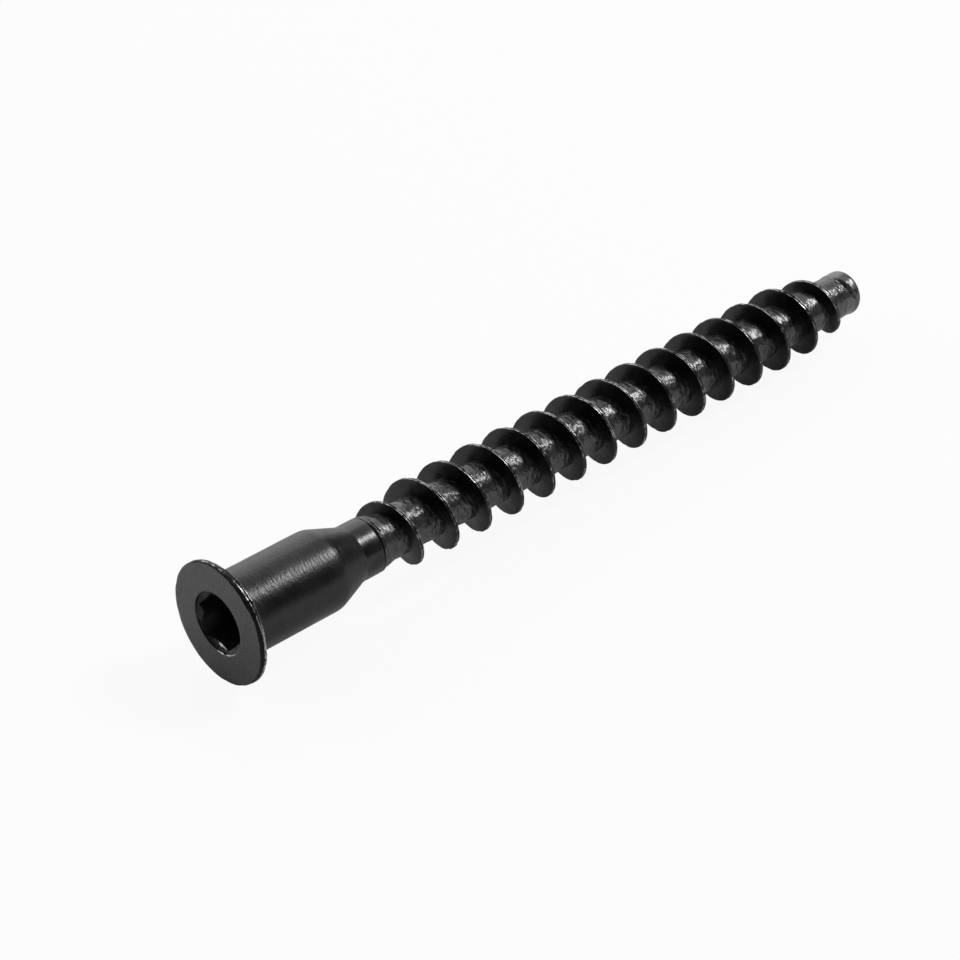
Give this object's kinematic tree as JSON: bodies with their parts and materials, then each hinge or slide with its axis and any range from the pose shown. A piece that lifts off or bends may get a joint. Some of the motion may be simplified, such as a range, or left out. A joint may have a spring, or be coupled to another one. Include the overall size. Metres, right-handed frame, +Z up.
{
  "type": "furniture connector screw",
  "caption": "One-piece furniture connector screw with a flat flange head, hexagon socket, smooth shank, coarse thread and blunt point, for joining boards.",
  "frame": {"origin": "bottom centre of the box around the screw as it lies, on the surface it rests on", "axes": "+X along the screw from its head to its point, +Z up. The axis dips by 1.63 degrees towards the point, because the flange is wider than the thread"},
  "size_m": [0.0708, 0.0102, 0.0102],
  "materials": {
    "black_steel": "satin"
  },
  "bodies": {
    "root": {"screw": "black_steel"}
  },
  "joints": []
}
